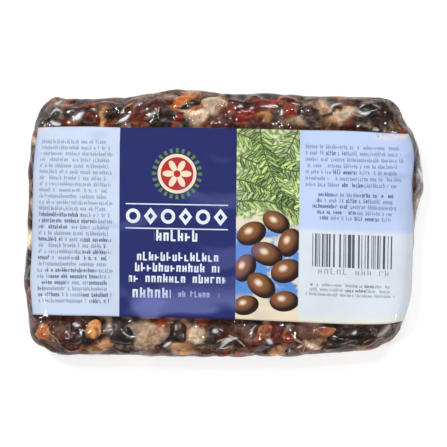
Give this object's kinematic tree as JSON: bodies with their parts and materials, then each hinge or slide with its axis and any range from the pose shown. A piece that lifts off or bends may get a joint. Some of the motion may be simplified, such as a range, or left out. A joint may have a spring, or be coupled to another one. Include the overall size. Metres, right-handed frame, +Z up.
{
  "type": "wrapped block of pressed tamarind pulp",
  "caption": "Flat round-edged block of pressed tamarind pulp with seeds and shell pieces in it, a printed slip on its face, drawn tight in clear film.",
  "frame": {"origin": "on the surface the block lies on, below the middle of its outside box", "axes": "+X along the long side, to the label's right; +Y across the block, to the label's top; +Z up, out of the label"},
  "size_m": [0.1242, 0.083, 0.018],
  "materials": {
    "tamarind_pulp": "sticky, half gloss",
    "printed_paper": "smooth coated print",
    "clear_film": "clear gloss"
  },
  "bodies": {
    "root": {"pulp_block": "tamarind_pulp", "label": "printed_paper", "film_wrap": "clear_film"}
  },
  "joints": []
}
